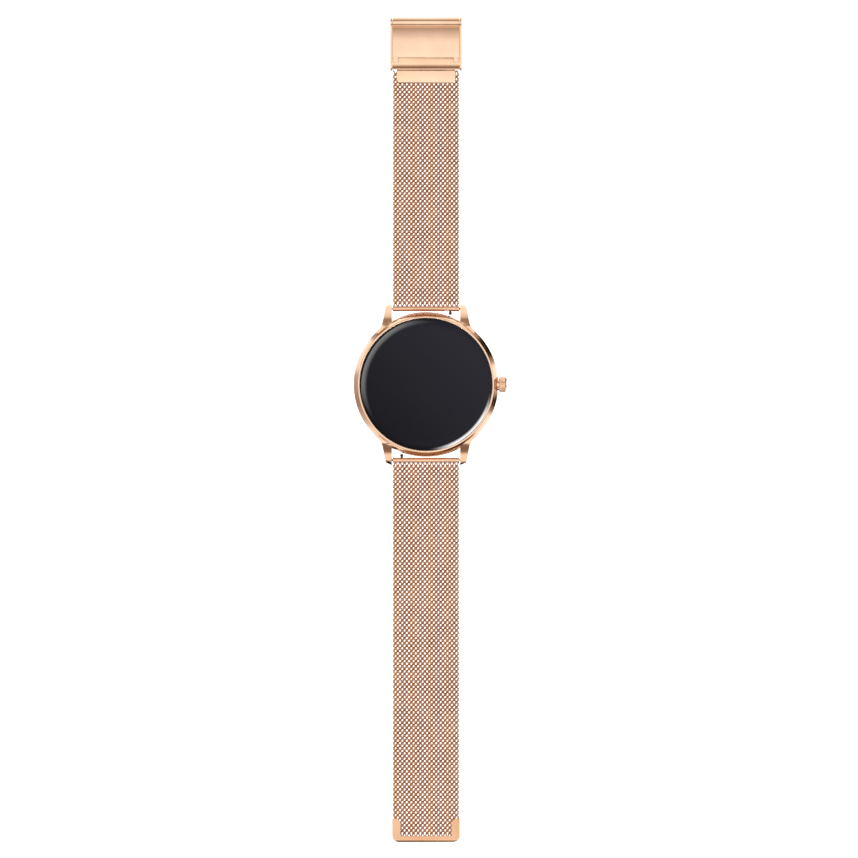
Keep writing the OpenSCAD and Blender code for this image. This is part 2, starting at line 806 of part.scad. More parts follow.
module clasp_frame() {
    color(ROSE) difference() {
        union() {
            both_x() translate([(rail_x0 + rail_x1) / 2, 0, 0]) along_x(rail_t) rail_side();
            along_x(2 * rail_x0 + rail_t) crossbar_side();
            along_x(2 * rail_x0 + rail_t)
                translate([knuckle_y + knuckle_r + 0.13, 0])
                    square([roll_y - knuckle_y - knuckle_r, floor_t]);
            both_x() translate([(knuckle_x + side_gap + rail_x1) / 2, 0, 0])
                along_x(rail_x1 - knuckle_x - side_gap) {
                    translate([knuckle_y, knuckle_r]) circle(knuckle_r);
                    translate([knuckle_y, 0]) square([2 * knuckle_r, floor_t]);
                }
        }
        translate([0, knuckle_y, knuckle_r]) x_bar(-rail_x1 - over, rail_x1 + over, tongue_pin_d);
        translate([0, roll_y, roll_z]) x_bar(-rail_x1 - over, rail_x1 + over, cover_pin_d);
        both_x() translate([latch_x[0], latch_y - 0.15, latch_z])
            cube([latch_x[1] - latch_x[0], crossbar_l, 2]);
    }
}

module cover_pin() {
    color(STEEL) translate([0, roll_y, roll_z]) x_bar(-rail_x1, rail_x1, cover_pin_d);
}

module clasp_cover() {
    finger = [latch_x[0] + 0.15, latch_x[1] - 0.15];
    color(ROSE_LIGHT) difference() {
        union() {
            along_x(2 * roll_half) translate([roll_y, roll_z]) circle(roll_r);
            along_x(2 * roll_half) intersection() {
                translate([cover_y0, cover_under_z]) square([roll_y - cover_y0, 2]);
                translate([cover_top_y, crossbar_top_z + 0.3 - cover_top_arc_r])
                    circle(cover_top_arc_r, $fn = 360);
            }
            both_x() translate([finger[0], latch_y, latch_z + 0.1]) cube([finger[1] - finger[0], 2.2, 0.35]);
        }
        translate([0, roll_y, roll_z]) x_bar(-rail_x1, rail_x1, cover_pin_d + 2 * run_gap);
    }
}

// ---------- Every node ----------

case_shell();
bezel_ring();
glass();
mask_ring();
optical_adhesive();
glass_adhesive();
display_panel();
display_flex();
inner_frame();
main_board();
board_shield();
antenna();
battery();
vibration_motor();
side_switch();
crown_tube();
back_cover();
back_gasket();
back_screws();
sensor_window();
sensor_board();
charge_contacts();
charge_magnets();
crown_clip();
crown_spring();
crown_stem();
crown_o_ring();
crown_head();
for (side = ["upper", "lower"]) {
    on_side(side) end_tube();
    on_side(side) bar_barrel();
    on_side(side) bar_fixed_pin();
    on_side(side) bar_spring();
    on_side(side) release_pin();
}
for (k = [1:UPPER_LINKS]) {
    upper_mesh(k);
}
for (k = [1:LOWER_LINKS]) {
    lower_mesh(k);
}
end_cap();
clasp_tongue();
tongue_pin();
clasp_frame();
cover_pin();
clasp_cover();
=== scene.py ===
"""Looks of the round smartwatch on its woven metal strap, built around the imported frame."""
import json
import logging
import math
from collections.abc import Sequence
from dataclasses import dataclass, field
from enum import Enum
from typing import Any

import bmesh
import bpy
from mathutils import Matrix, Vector

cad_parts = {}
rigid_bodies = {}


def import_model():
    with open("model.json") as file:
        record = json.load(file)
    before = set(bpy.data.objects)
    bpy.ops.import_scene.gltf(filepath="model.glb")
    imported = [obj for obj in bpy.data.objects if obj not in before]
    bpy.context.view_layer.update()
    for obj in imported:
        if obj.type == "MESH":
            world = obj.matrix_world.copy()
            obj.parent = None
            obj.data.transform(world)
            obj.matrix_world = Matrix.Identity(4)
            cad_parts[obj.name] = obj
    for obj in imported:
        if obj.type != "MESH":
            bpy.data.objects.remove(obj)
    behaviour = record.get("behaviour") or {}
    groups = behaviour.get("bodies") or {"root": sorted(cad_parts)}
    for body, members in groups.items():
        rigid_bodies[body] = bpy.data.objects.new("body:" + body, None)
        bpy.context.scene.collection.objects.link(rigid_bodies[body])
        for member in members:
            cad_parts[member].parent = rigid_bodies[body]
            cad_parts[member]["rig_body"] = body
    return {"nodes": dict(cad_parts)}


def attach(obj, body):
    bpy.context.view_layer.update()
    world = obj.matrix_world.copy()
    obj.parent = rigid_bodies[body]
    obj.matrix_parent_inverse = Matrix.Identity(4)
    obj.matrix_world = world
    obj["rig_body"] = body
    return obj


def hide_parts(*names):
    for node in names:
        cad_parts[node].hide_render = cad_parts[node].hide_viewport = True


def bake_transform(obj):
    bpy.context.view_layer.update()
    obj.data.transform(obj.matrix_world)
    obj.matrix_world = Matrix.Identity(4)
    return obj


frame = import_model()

MM = 0.001
LOG = logging.getLogger("watch")

# How a CAD mesh is made ready for its broken edges: merge distance in metres, angles in degrees.
MERGE_M = 1e-6
FLAT_DEG = 0.3
SHARP_DEG = 40
BEVEL_DEG = 38
BEVEL_SEGMENTS = 2

# Where the values of a noise mostly lie, which its map or ramp stretches out.
MARKS_SPAN = (0.3, 0.7)
CLOUD_SPAN = (0.35, 0.65)

# Green and blue of a card's darkest tone, as shares of its red.
WARM_GREEN = 0.62
WARM_BLUE = 0.4

Colour = tuple[float, float, float, float]
# Places and brightnesses along a ramp.
Stops = tuple[tuple[float, float], ...]


class Side(Enum):
    """The two strap lengths: the 12 o'clock side, and the 6 o'clock side turned half round."""

    UPPER = "upper"
    LOWER = "lower"

    @property
    def turn(self) -> float:
        """The side's turn about Z, in radians."""
        return 0.0 if self is Side.UPPER else math.pi

    @property
    def sign(self) -> float:
        """1 where the side runs towards +Y, -1 where it runs towards -Y."""
        return 1.0 if self is Side.UPPER else -1.0


class Grain(Enum):
    """How the fine marks of a finish run."""

    EVEN = "even"
    ROUND = "round"


# ---------- Small helpers ----------


def linear(colour: str) -> Colour:
    """Turns an sRGB hex colour into linear RGBA.

    Args:
        colour: The colour as "#RRGGBB".

    Returns:
        Red, green, blue and alpha for a shader socket.
    """
    parts = [int(colour[i : i + 2], 16) / 255 for i in (1, 3, 5)]
    lin = [c / 12.92 if c <= 0.04045 else ((c + 0.055) / 1.055) ** 2.4 for c in parts]
    return lin[0], lin[1], lin[2], 1.0


def card_tone(value: float, warm: bool) -> Colour:
    """The linear colour of a studio card.

    Args:
        value: Its brightness.
        warm: Whether it is the browner the darker it is.

    Returns:
        Red, green, blue and alpha for a ramp's stop.
    """
    full = min(value, 1.0) if warm else 1.0
    green = WARM_GREEN + (1 - WARM_GREEN) * full
    blue = WARM_BLUE + (1 - WARM_BLUE) * full
    return value, value * green, value * blue, 1.0


def add_node(
    tree: bpy.types.NodeTree,
    kind: str,
    inputs: dict[str | int, Any] | None = None,
    stops: Sequence[tuple[float, Colour]] = (),
    easing: str = "LINEAR",
    **settings: Any,
) -> bpy.types.Node:
    """Adds a node to a tree, with its settings and links.

    Args:
        tree: The node tree.
        kind: The node's type name.
        inputs: Socket name or number, with its value, or the output socket or node that feeds it.
        stops: Place and linear colour of each stop of a ramp, in order.
        easing: How a ramp runs between its stops.
        **settings: The node's own properties.

    Returns:
        The new node.
    """
    node = tree.nodes.new(kind)
    for name, value in settings.items():
        setattr(node, name, value)
    for key, value in (inputs or {}).items():
        if isinstance(value, bpy.types.Node):
            value = value.outputs[0]
        if isinstance(value, bpy.types.NodeSocket):
            tree.links.new(value, node.inputs[key])
        else:
            node.inputs[key].default_value = value
    if stops:
        node.color_ramp.interpolation = easing
        elements = node.color_ramp.elements
        elements[0].position, elements[1].position = stops[0][0], stops[-1][0]
        for place, _ in stops[1:-1]:
            elements.new(place)
        for element, (_, colour) in zip(elements, stops):
            element.color = colour
    return node


def plain_mesh(name: str, obj: bpy.types.Object) -> bpy.types.Object:
    """Turns an object with live modifiers into a plain mesh object and removes the first one.

    Args:
        name: The new object's name.
        obj: The object to evaluate.

    Returns:
        The plain object, linked to the scene.
    """
    bpy.context.view_layer.update()
    graph = bpy.context.evaluated_depsgraph_get()
    mesh = bpy.data.meshes.new_from_object(obj.evaluated_get(graph))
    mesh.name = name
    made = bpy.data.objects.new(name, mesh)
    bpy.context.scene.collection.objects.link(made)
    bpy.data.objects.remove(obj)
    return made


def report(piece: bpy.types.Object) -> None:
    """Logs a piece's name and its number of faces."""
    LOG.info("%s: %d faces", piece.name, len(piece.data.polygons))


# ---------- Finishes ----------


@dataclass(frozen=True)
class Finish:
    """A surface: two close tones that drift, fine marks in roughness and bump.

    Colours are sRGB hex values. Sizes are in millimetres.
    """

    name: str
    light: str
    deep: str
    roughness: tuple[float, float]
    metallic: float = 1.0
    grain: Grain = Grain.EVEN
    grain_mm: float = 0.3
    stretch: tuple[float, float, float] = (1.0, 1.0, 1.0)
    bump_mm: float = 0.002
    cloud_mm: float = 7.0
    coat: float = 0.0
    coat_roughness: float = 0.05
    specular: float = 0.5

    def material(self) -> bpy.types.Material:
        """Builds the node material, or takes the one built before.

        Returns:
            The material.
        """
        if self.name in bpy.data.materials:
            return bpy.data.materials[self.name]
        made = bpy.data.materials.new(self.name)
        made.use_nodes = True
        tree = made.node_tree
        tree.nodes.clear()
        place = add_node(tree, "ShaderNodeTexCoord").outputs["Object"]
        shader = add_node(
            tree,
            "ShaderNodeBsdfPrincipled",
            {
                "Metallic": self.metallic,
                "Coat Weight": self.coat,
                "Coat Roughness": self.coat_roughness,
                "Specular IOR Level": self.specular,
            },
        )
        self.paint(tree, place, shader)
        add_node(tree, "ShaderNodeOutputMaterial", {"Surface": shader})
        made.diffuse_color = linear(self.light)
        made.metallic = self.metallic
        made.roughness = self.roughness[0]
        return made

    def paint(
        self, tree: bpy.types.NodeTree, place: bpy.types.NodeSocket, shader: bpy.types.Node
    ) -> None:
        """Links the drifting colour, the roughness and the bump to the shader.

        Args:
            tree: The material's node tree.
            place: Object coordinates, in metres.
            shader: The Principled node.
        """
        tree.links.new(self.drift(tree, place).outputs[0], shader.inputs["Base Color"])
        marks = self.marks(tree, place)
        span = {"From Min": MARKS_SPAN[0], "From Max": MARKS_SPAN[1]}
        rough = add_node(
            tree,
            "ShaderNodeMapRange",
            {"Value": marks, **span, "To Min": self.roughness[0], "To Max": self.roughness[1]},
        )
        tree.links.new(rough.outputs[0], shader.inputs["Roughness"])
        depth = self.bump_mm * MM
        bump = add_node(tree, "ShaderNodeBump", {"Height": marks, "Strength": 1.0, "Distance": depth})
        tree.links.new(bump.outputs[0], shader.inputs["Normal"])

    def drift(self, tree: bpy.types.NodeTree, place: bpy.types.NodeSocket) -> bpy.types.Node:
        """Adds the base colour: a slow drift between the light and the deep tone.

        Args:
            tree: The material's node tree.
            place: Object coordinates, in metres.

        Returns:
            The node that gives the colour.
        """
        spread = add_node(tree, "ShaderNodeMapping", {"Vector": place, "Scale": (1 / MM,) * 3})
        cloud = add_node(
            tree,
            "ShaderNodeTexNoise",
            {"Vector": spread, "Scale": 1 / self.cloud_mm, "Detail": 2.0, "Roughness": 0.5},
        )
        tones = zip(CLOUD_SPAN, (linear(self.deep), linear(self.light)))
        return add_node(tree, "ShaderNodeValToRGB", {"Fac": cloud}, tuple(tones))

    def marks(self, tree: bpy.types.NodeTree, place: bpy.types.NodeSocket) -> bpy.types.Node:
        """Adds the fine marks: even grain, stretched lines, or rings round the Z axis.

        Args:
            tree: The material's node tree.
            place: Object coordinates, in metres.

        Returns:
            The node that gives the marks' height.
        """
        vector = place
        if self.grain is Grain.ROUND:
            split = add_node(tree, "ShaderNodeSeparateXYZ", {0: place})
            x, y, z = split.outputs[:3]
            flat = add_node(tree, "ShaderNodeCombineXYZ", {"X": x, "Y": y})
            radius = add_node(tree, "ShaderNodeVectorMath", {0: flat}, operation="LENGTH")
            length = radius.outputs["Value"]
            vector = add_node(tree, "ShaderNodeCombineXYZ", {"X": length, "Z": z})
        scale = tuple(s / MM for s in self.stretch)
        spread = add_node(tree, "ShaderNodeMapping", {"Vector": vector, "Scale": scale})
        return add_node(
            tree,
            "ShaderNodeTexNoise",
            {"Vector": spread, "Scale": 1 / self.grain_mm, "Detail": 3.0, "Roughness": 0.6},
        )


@dataclass(frozen=True)
class CoverGlassFinish(Finish):
    """Hardened glass over a dark display and a black printed border: deep, clear gloss.

    The painted sheen is a reflection painted into the colour, lighter towards the upper right; its
    span is the corner-to-corner run of its two tones, half each side of the middle.
    """

    painted_sheen_mm: float = 50.0

    def drift(self, tree: bpy.types.NodeTree, place: bpy.types.NodeSocket) -> bpy.types.Node:
        """Adds the unlit display's grey, with a painted reflection that lightens it towards the upper
        right.

        Args:
            tree: The material's node tree.
            place: Object coordinates, in metres.

        Returns:
            The node that gives the colour.
        """
        scale = 1 / (self.painted_sheen_mm * MM)
        slant = add_node(
            tree,
            "ShaderNodeMapping",
            {"Vector": place, "Location": (0.5, 0.5, 0.0), "Scale": (scale, scale, 0.0)},
        )
        # Painted reflection: a diagonal ramp lightens the glass's colour towards the upper right.
        painted_sheen = add_node(tree, "ShaderNodeTexGradient", {"Vector": slant}, gradient_type="DIAGONAL")
        tones = ((0.2, linear(self.deep)), (0.75, linear(self.light)))
        return add_node(tree, "ShaderNodeValToRGB", {"Fac": painted_sheen.outputs["Fac"]}, tones)


@dataclass(frozen=True)
class BoardFinish(Finish):
    """Glass-fibre laminate under solder mask: fine copper lines show as a lighter tone."""

    track_share: tuple[float, float] = (0.04, 0.06)

    def drift(self, tree: bpy.types.NodeTree, place: bpy.types.NodeSocket) -> bpy.types.Node:
        """Adds the mask's colour, with tracks along the edges of a cell pattern.

        Args:
            tree: The material's node tree.
            place: Object coordinates, in metres.

        Returns:
            The node that gives the colour.
        """
        flat = (1 / MM, 1 / MM, 0.0)
        spread = add_node(tree, "ShaderNodeMapping", {"Vector": place, "Scale": flat})
        cells = add_node(
            tree,
            "ShaderNodeTexVoronoi",
            {"Vector": spread, "Scale": 1 / self.cloud_mm},
            feature="DISTANCE_TO_EDGE",
        )
        tones = zip(self.track_share, (linear(self.light), linear(self.deep)))
        return add_node(tree, "ShaderNodeValToRGB", {"Fac": cells}, tuple(tones))


# Rose-gold PVD over mirror-polished 316L steel: clean reflections, a warm pink-gold body.
CASE_POLISH = Finish(
    "rose_pvd_steel_mirror", "#E8C1A2", "#E2B897", (0.05, 0.09), grain_mm=0.4, bump_mm=0.0004
)
# The same coating on a lapped ring: a little softer than the case.
RING_LAPPED = Finish(
    "rose_pvd_steel_lapped",
    "#ECC8AC",
    "#E6C0A1",
    (0.08, 0.14),
    grain=Grain.ROUND,
    grain_mm=0.05,
    bump_mm=0.0003,
)
# Rose-gold PVD over drawn steel wire: bright drawn skin with faint die lines.
WIRE_DRAWN = Finish(
    "rose_pvd_steel_wire",
    "#DDA877",
    "#C88E5B",
    (0.16, 0.30),
    grain_mm=0.25,
    bump_mm=0.004,
    cloud_mm=3.0,
)
# Rose-gold PVD over stamped sheet, tumbled smooth: broad, slightly blurred highlights.
SHEET_TUMBLED = Finish(
    "rose_pvd_steel_tumbled",
    "#EAC6A9",
    "#E4BE9F",
    (0.14, 0.22),
    grain_mm=0.5,
    bump_mm=0.002,
    cloud_mm=9.0,
)
# The same coating over thin folded sheet, in a darker tan tone.
SHEET_FOLDED = Finish(
    "rose_pvd_steel_folded",
    "#DDB18E",
    "#D3A37D",
    (0.14, 0.22),
    grain_mm=0.5,
    bump_mm=0.002,
    cloud_mm=9.0,
)
# Rose-gold PVD over milled steel, brushed along the strap: fine straight lines.
FRAME_BRUSHED = Finish(
    "rose_pvd_steel_brushed",
    "#E8C2A2",
    "#E1B897",
    (0.12, 0.22),
    grain_mm=0.12,
    stretch=(1.0, 0.06, 1.0),
    bump_mm=0.001,
)
# Aluminosilicate cover glass over an unlit display: a black mirror with a faint grey in it, and a
# painted reflection lighter towards the upper right.
GLASS_BLACK = CoverGlassFinish(
    "cover_glass_black_print",
    "#08080B",
    "#020203",
    (0.04, 0.06),
    metallic=0.0,
    grain_mm=4.0,
    bump_mm=0.0,
    specular=0.075,
)
# Screen-printed black ink: flat and dense.
PRINT_BLACK = Finish(
    "screen_print_black", "#08080A", "#050506", (0.45, 0.6), metallic=0.0, grain_mm=0.1
)
# Unlit display under its polariser: smooth violet-black.
DISPLAY_DARK = Finish(
    "display_polariser", "#17161B", "#121116", (0.1, 0.15), metallic=0.0, grain_mm=0.2
)
# Clear optical resin: faintly warm, glossy.
RESIN_CLEAR = Finish(
    "clear_optical_resin", "#1E1D20", "#19181B", (0.12, 0.18), metallic=0.0, grain_mm=0.5
)
# Black acrylic foam tape: soft and open.
TAPE_BLACK = Finish(
    "acrylic_foam_tape",
    "#151515",
    "#0E0E0F",
    (0.7, 0.85),
    metallic=0.0,
    grain_mm=0.15,
    bump_mm=0.01,
)
# Polyimide flex circuit: amber film with a soft gloss.
FLEX_AMBER = Finish(
    "polyimide_flex", "#B4661C", "#8E4A12", (0.3, 0.4), metallic=0.0, grain_mm=0.3, coat=0.3
)
# Glass-filled polycarbonate, moulded: dull grey with fibre speckle.
FRAME_MOULDED = Finish(
    "glass_filled_polycarbonate", "#3A3B3D", "#2D2E30", (0.5, 0.65), metallic=0.0, grain_mm=0.2
)
# Solder-masked laminate: dark green with fine tracks.
BOARD_MASKED = BoardFinish(
    "solder_masked_laminate", "#2F6B45", "#123E28", (0.3, 0.45), metallic=0.0, cloud_mm=1.1
)
# Tin-plated steel can: soft grey, drawn.
CAN_TINNED = Finish("tinned_steel_can", "#C4C5C6", "#B0B1B3", (0.28, 0.4), grain_mm=0.2)
# Laser-plated antenna track: coppery nickel.
TRACK_PLATED = Finish("plated_antenna_track", "#C9B79A", "#B39F80", (0.25, 0.35), grain_mm=0.15)
# Aluminium-laminate pouch: crinkled silver foil.
POUCH_FOIL = Finish(
    "aluminium_laminate_pouch",
    "#B9BCC0",
    "#A3A6AB",
    (0.3, 0.45),
    grain_mm=1.2,
    bump_mm=0.05,
    cloud_mm=4.0,
)
# Stainless steel, ground: plain springs, pins, screws and the motor's can.
STEEL_GROUND = Finish(
    "ground_stainless_steel", "#C9C8C6", "#B9B7B4", (0.16, 0.28), grain_mm=0.12, bump_mm=0.002
)
# The release pins' steel, heat-browned: dark and dull beside the coating.
STEEL_BROWNED = Finish(
    "browned_steel", "#6E5947", "#54412F", (0.25, 0.4), grain_mm=0.15, bump_mm=0.002
)
# Switch housing, moulded black nylon.
NYLON_BLACK = Finish(
    "moulded_black_nylon", "#1C1C1E", "#141416", (0.45, 0.6), metallic=0.0, grain_mm=0.2
)
# Nitrile rubber seal: matt black.
RUBBER_SEAL = Finish(
    "nitrile_rubber", "#17171A", "#101012", (0.6, 0.8), metallic=0.0, grain_mm=0.12, bump_mm=0.004
)
# Rose-gold PVD over turned steel: rings from the lathe catch the light.
BACK_TURNED = Finish(
    "rose_pvd_steel_turned",
    "#E2B48E",
    "#D8A67E",
    (0.18, 0.32),
    grain=Grain.ROUND,
    grain_mm=0.09,
    bump_mm=0.0012,
)
# Smoked optical acrylic over the sensors: near-black, glossy.
LENS_SMOKED = Finish(
    "smoked_optical_acrylic",
    "#121014",
    "#0A090B",
    (0.04, 0.08),
    metallic=0.0,
    coat=0.6,
    grain_mm=2.0,
)
# Hard gold plating on spring contacts.
PAD_GOLD = Finish("hard_gold_plating", "#F2CE74", "#E3BB5C", (0.15, 0.25), grain_mm=0.2)
# Nickel-plated magnet: bright grey.
MAGNET_NICKEL = Finish("nickel_plating", "#CFCBC2", "#BFBAB0", (0.12, 0.2), grain_mm=0.2)

NODE_FINISH: dict[str, Finish] = {
    "case_shell": CASE_POLISH,
    "bezel_ring": RING_LAPPED,
    "glass": GLASS_BLACK,
    "mask_ring": PRINT_BLACK,
    "optical_adhesive": RESIN_CLEAR,
    "glass_adhesive": TAPE_BLACK,
    "display_panel": DISPLAY_DARK,
    "display_flex": FLEX_AMBER,
    "inner_frame": FRAME_MOULDED,
    "main_board": BOARD_MASKED,
    "board_shield": CAN_TINNED,
    "antenna": TRACK_PLATED,
    "battery": POUCH_FOIL,
    "vibration_motor": STEEL_GROUND,
    "side_switch": NYLON_BLACK,
    "crown_tube": CASE_POLISH,
    "back_cover": BACK_TURNED,
    "back_gasket": RUBBER_SEAL,
    "back_screws": STEEL_GROUND,
    "sensor_window": LENS_SMOKED,
    "sensor_board": BOARD_MASKED,
    "charge_contacts": PAD_GOLD,
    "charge_magnets": MAGNET_NICKEL,
    "crown_clip": STEEL_GROUND,
    "crown_spring": STEEL_GROUND,
    "crown_stem": STEEL_GROUND,
    "crown_o_ring": RUBBER_SEAL,
    "crown_head": CASE_POLISH,
    "end_cap": SHEET_FOLDED,
    "clasp_tongue": SHEET_TUMBLED,
    "tongue_pin": STEEL_GROUND,
    "clasp_frame": FRAME_BRUSHED,
    "cover_pin": STEEL_GROUND,
    "clasp_cover": SHEET_TUMBLED,
}
END_FINISH: dict[str, Finish] = {
    "end_tube": CASE_POLISH,
    "bar_barrel": STEEL_GROUND,
    "bar_fixed_pin": STEEL_GROUND,
    "bar_spring": STEEL_GROUND,
    "release_pin": STEEL_BROWNED,
}


def softened(node: str, finish: Finish, bevel_mm: float) -> bpy.types.Object:
    """Stands a smooth-shaded copy with broken edges in for a hard CAD node.

    Args:
        node: The CAD node.
        finish: Its surface.
        bevel_mm: Width of the broken edge, or 0 for none.

    Returns:
        The new piece, riding on the node's body.
    """
    source = frame["nodes"][node]
    mesh = source.data.copy()
    work = bmesh.new()
    work.from_mesh(mesh)
    bmesh.ops.remove_doubles(work, verts=work.verts, dist=MERGE_M)
    bmesh.ops.dissolve_limit(
        work, angle_limit=math.radians(FLAT_DEG), verts=work.verts, edges=work.edges
    )
    work.to_mesh(mesh)
    work.free()
    mesh.materials.clear()
    mesh.materials.append(finish.material())
    mesh.polygons.foreach_set("use_smooth", [True] * len(mesh.polygons))
    mesh.set_sharp_from_angle(angle=math.radians(SHARP_DEG))
    made = bpy.data.objects.new(f"{node}_work", mesh)
    bpy.context.scene.collection.objects.link(made)
    if bevel_mm:
        edge = made.modifiers.new("edge", "BEVEL")
        edge.width = bevel_mm * MM
        edge.segments = BEVEL_SEGMENTS
        edge.limit_method = "ANGLE"
        edge.angle_limit = math.radians(BEVEL_DEG)
        edge.use_clamp_overlap = True
        edge.harden_normals = True
    made = plain_mesh(f"{node}_soft", made)
    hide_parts(node)
    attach(made, source["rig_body"])
    report(made)
    return made


# ---------- The woven wire strap ----------


@dataclass
class WovenStrap:
    """One length of woven wire: flattened coils across the strap, each hooked into the next.

    Sizes are in millimetres, and distances along the strap are from the watch's middle. The turn
    pitch is the spacing of the holes along a row. The row gap is half of what the pattern repeats
    in along the strap, because every second row is the same.
    """

    side: Side
    links: int
    length: float
    row_gap: float
    start: float = 22.88
    bar_y: float = 22.13
    bar_z: float = 1.9
    middle: float = 0.9
    pitch: float = 1.319
    turns: float = 14.5
    wire_r: float = 0.2
    half_w: float = 0.66
    half_h: float = 0.39
    # The loop's shape: 1 is an ellipse, and less is squarer.
    loop_power: float = 0.6
    # How far a bend reaches to each side, as a share of the distance between two bends.
    bend_reach: float = 0.42
    steps: int = 12
    sides: int = 6
    tree: bpy.types.NodeTree | None = field(default=None, repr=False)

    INPUTS = (
        ("First row", "NodeSocketInt"),
        ("Rows", "NodeSocketInt"),
        ("Row gap", "NodeSocketFloat"),
        ("Turn pitch", "NodeSocketFloat"),
        ("Turns", "NodeSocketFloat"),
        ("Wire radius", "NodeSocketFloat"),
        ("Half width", "NodeSocketFloat"),
        ("Half height", "NodeSocketFloat"),
        ("Loop power", "NodeSocketFloat"),
        ("Start", "NodeSocketFloat"),
        ("Bar place", "NodeSocketFloat"),
        ("Slope end", "NodeSocketFloat"),
        ("Bar height", "NodeSocketFloat"),
        ("Mesh height", "NodeSocketFloat"),
        ("Turn round", "NodeSocketFloat"),
        ("Wire", "NodeSocketMaterial"),
    )

    @property
    def step(self) -> float:
        """Distance between two bends."""
        return self.length / self.links

    @property
    def rows(self) -> int:
        """Number of coils along the strap."""
        return int((self.length - 2 * self.half_w - self.wire_r) / self.row_gap) + 1

    def build_tree(self) -> bpy.types.NodeTree:
        """Builds the node tree that winds two coils, lays them in turn and slopes them.

        Returns:
            The Geometry Nodes tree.
        """
        tree = bpy.data.node_groups.new("woven_wire", "GeometryNodeTree")
        for name, kind in self.INPUTS:
            tree.interface.new_socket(name=name, in_out="INPUT", socket_type=kind)
        tree.interface.new_socket(
            name="Geometry", in_out="OUTPUT", socket_type="NodeSocketGeometry"
        )
        given = add_node(tree, "NodeGroupInput").outputs
        index = add_node(tree, "GeometryNodeInputIndex")
        both = self.wind(tree, given, index)
        real = self.lay(tree, given, index, both)
        sloped = self.slope(tree, given, real)
        round_z = add_node(tree, "ShaderNodeCombineXYZ", {"Z": given["Turn round"]})
        turned = add_node(tree, "GeometryNodeTransform", {"Geometry": sloped, "Rotation": round_z})
        smooth = add_node(tree, "GeometryNodeSetShadeSmooth", {"Geometry": turned})
        dressed = add_node(
            tree, "GeometryNodeSetMaterial", {"Geometry": smooth, "Material": given["Wire"]}
        )
        add_node(tree, "NodeGroupOutput", {"Geometry": dressed})
        return tree

    def wind(
        self, tree: bpy.types.NodeTree, given: bpy.types.NodeOutputs, index: bpy.types.Node
    ) -> bpy.types.Node:
        """Winds the two coils: points along X, swung round a flattened loop, half a turn apart.

        Args:
            tree: The strap's node tree.
            given: Its inputs.
            index: The point's number.

        Returns:
            The node that gives both coils as instances.
        """
        pitch, turns, steps = given["Turn pitch"], given["Turns"], float(self.steps)
        advance = add_node(tree, "ShaderNodeMath", {0: pitch, 1: steps}, operation="DIVIDE")
        length = add_node(tree, "ShaderNodeMath", {0: pitch, 1: turns}, operation="MULTIPLY")
        spans = add_node(tree, "ShaderNodeMath", {0: turns, 1: steps}, operation="MULTIPLY")
        count = add_node(tree, "ShaderNodeMath", {0: spans, 1: 1.0}, operation="ADD")
        begin = add_node(tree, "ShaderNodeMath", {0: length, 1: -0.5}, operation="MULTIPLY")
        line = add_node(
            tree,
            "GeometryNodeMeshLine",
            {
                "Count": count,
                "Start Location": add_node(tree, "ShaderNodeCombineXYZ", {"X": begin}),
                "Offset": add_node(tree, "ShaderNodeCombineXYZ", {"X": advance}),
            },
        )
        position = add_node(tree, "GeometryNodeInputPosition")
        along = add_node(tree, "ShaderNodeSeparateXYZ", {0: position})
        section = add_node(
            tree,
            "GeometryNodeCurvePrimitiveCircle",
            {"Resolution": self.sides, "Radius": given["Wire radius"]},
        )
        turn = add_node(
            tree, "ShaderNodeMath", {0: index, 1: 2 * math.pi / self.steps}, operation="MULTIPLY"
        )
        both = add_node(tree, "GeometryNodeGeometryToInstance")
        for phase in (0.0, math.pi):
            angle = add_node(tree, "ShaderNodeMath", {0: turn, 1: phase}, operation="ADD")
            swing = add_node(tree, "ShaderNodeMath", {0: angle}, operation="COSINE")
            rise = add_node(tree, "ShaderNodeMath", {0: angle}, operation="SINE")
            way = add_node(tree, "ShaderNodeMath", {0: swing}, operation="SIGN")
            reach = add_node(tree, "ShaderNodeMath", {0: swing}, operation="ABSOLUTE")
            square = add_node(
                tree, "ShaderNodeMath", {0: reach, 1: given["Loop power"]}, operation="POWER"
            )
            signed = add_node(tree, "ShaderNodeMath", {0: way, 1: square}, operation="MULTIPLY")
            y = add_node(
                tree, "ShaderNodeMath", {0: given["Half width"], 1: signed}, operation="MULTIPLY"
            )
            z = add_node(
                tree, "ShaderNodeMath", {0: given["Half height"], 1: rise}, operation="MULTIPLY"
            )
            loop = add_node(tree, "ShaderNodeCombineXYZ", {"X": along.outputs[0], "Y": y, "Z": z})
            wound = add_node(tree, "GeometryNodeSetPosition", {"Geometry": line, "Position": loop})
            curve = add_node(tree, "GeometryNodeMeshToCurve", {"Mesh": wound})
            wire = add_node(
                tree,
                "GeometryNodeCurveToMesh",
                {"Curve": curve, "Profile Curve": section, "Fill Caps": True},
            )
            tree.links.new(wire.outputs[0], both.inputs[0])
        return both

